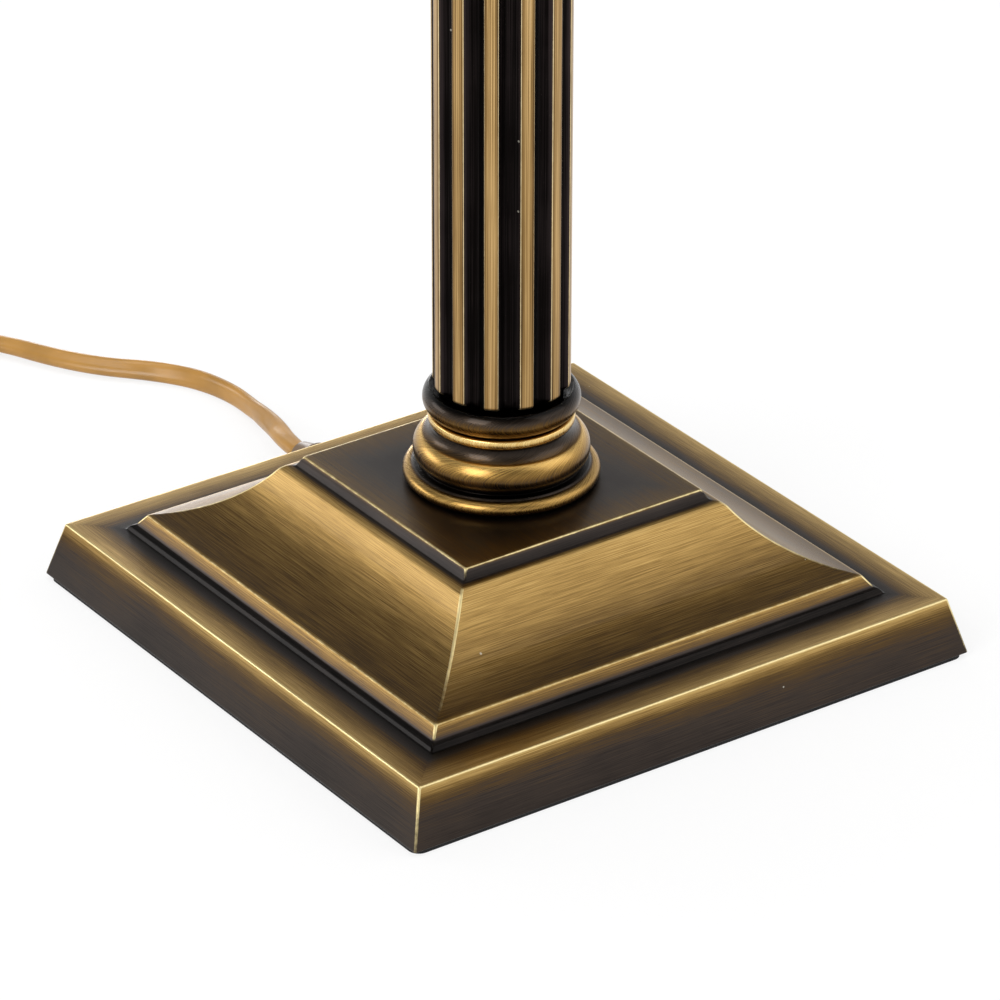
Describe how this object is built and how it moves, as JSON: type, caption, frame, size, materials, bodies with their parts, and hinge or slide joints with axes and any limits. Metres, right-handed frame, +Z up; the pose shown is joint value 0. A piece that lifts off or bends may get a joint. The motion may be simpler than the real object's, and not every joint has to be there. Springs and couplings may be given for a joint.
{
  "type": "column table lamp",
  "caption": "Table lamp with a fluted antique-brass column on a stepped square base, a screw lampholder and bulb, a tapered fabric shade, and a mains cord with in-line switch and plug.",
  "frame": {"origin": "on the surface the lamp stands on, on the axis of the column", "axes": "+Z up along the column; the cord leaves the middle of the base's +Y face; the base's sides lie along X and Y"},
  "size_m": [0.352, 0.3876, 0.5365],
  "materials": {
    "felt": "black felt",
    "antique_brass_cast": "brushed antique brass with a dark patina in the recesses and bright worn edges",
    "antique_brass_turned": "polished and brushed antique brass with dark hollows",
    "fluted_brass": "brushed ribs, black flutes",
    "ballast_iron": "rough cast",
    "steel": "zinc plated",
    "plain_brass": "plain brass",
    "nickel": "nickel plated",
    "black_plastic": "moulded, fine grain",
    "white_plastic": "moulded",
    "ceramic": "unglazed insulating block",
    "opal_glass": "opal white",
    "shade_fabric": "plain weave, ivory",
    "shade_liner": "translucent film",
    "white_wire": "white coated wire",
    "gold_plastic": "translucent gold-brown moulding",
    "gold_cord": "clear gold-brown flat cord",
    "black_tie": "wire tie"
  },
  "bodies": {
    "root": {"felt_pad": "felt", "base_shell": "antique_brass_cast", "ballast_plate": "ballast_iron", "ballast_screws": "steel", "base_washer": "steel", "base_nut": "steel", "threaded_tube": "steel", "lower_collar": "antique_brass_turned", "lower_cup": "antique_brass_turned", "column_tube": "fluted_brass", "upper_cup": "antique_brass_turned", "upper_collar": "antique_brass_turned", "abacus": "antique_brass_cast", "neck_finial": "antique_brass_turned", "holder_cap": "antique_brass_turned", "holder_skirt": "black_plastic", "holder_insert": "ceramic", "holder_terminals": "plain_brass", "centre_contact": "plain_brass", "screw_shell": "plain_brass", "shell_collar": "ceramic", "cord_gland": "gold_plastic", "inner_lead": "gold_cord", "cord_clamp": "black_plastic", "clamp_screws": "steel", "cord_to_switch": "gold_cord", "cord_to_coil": "gold_cord", "cord_to_plug": "gold_cord", "cord_coil": "gold_cord", "coil_tie": "black_tie", "switch_base": "gold_plastic", "switch_cover": "gold_plastic", "switch_screws": "steel", "switch_contacts": "plain_brass", "plug_body": "gold_plastic", "plug_pins": "nickel", "pin_sleeves": "black_plastic"},
    "shade": {"shade_cover": "shade_fabric", "shade_liner": "shade_liner", "shade_fitter": "white_wire", "shade_lower_ring": "white_wire", "shade_upper_ring": "white_wire"},
    "shade_ring": {"shade_ring": "black_plastic"},
    "bulb": {"bulb_cap": "nickel", "bulb_housing": "white_plastic", "bulb_glass": "opal_glass"},
    "rocker": {"switch_rocker": "gold_plastic"}
  },
  "joints": [
    {"name": "shade_lift", "type": "slide", "parent": "root", "child": "shade", "axis": [0, 0, 1], "range_m": [0, 0.15]},
    {"name": "shade_ring_turn", "type": "hinge", "parent": "shade", "child": "shade_ring", "pos_m": [0, 0, 0.3795], "axis": [0, 0, 1], "range_deg": [0, 1080]},
    {"name": "bulb_lift", "type": "slide", "parent": "root", "child": "bulb", "axis": [0, 0, 1], "range_m": [0, 0.06]},
    {"name": "switch_rocker_tilt", "type": "hinge", "parent": "root", "child": "rocker", "pos_m": [-0.105, 0.2225, 0.013], "axis": [-0.0698, 0.9976, 0], "range_deg": [0, 16]}
  ]
}
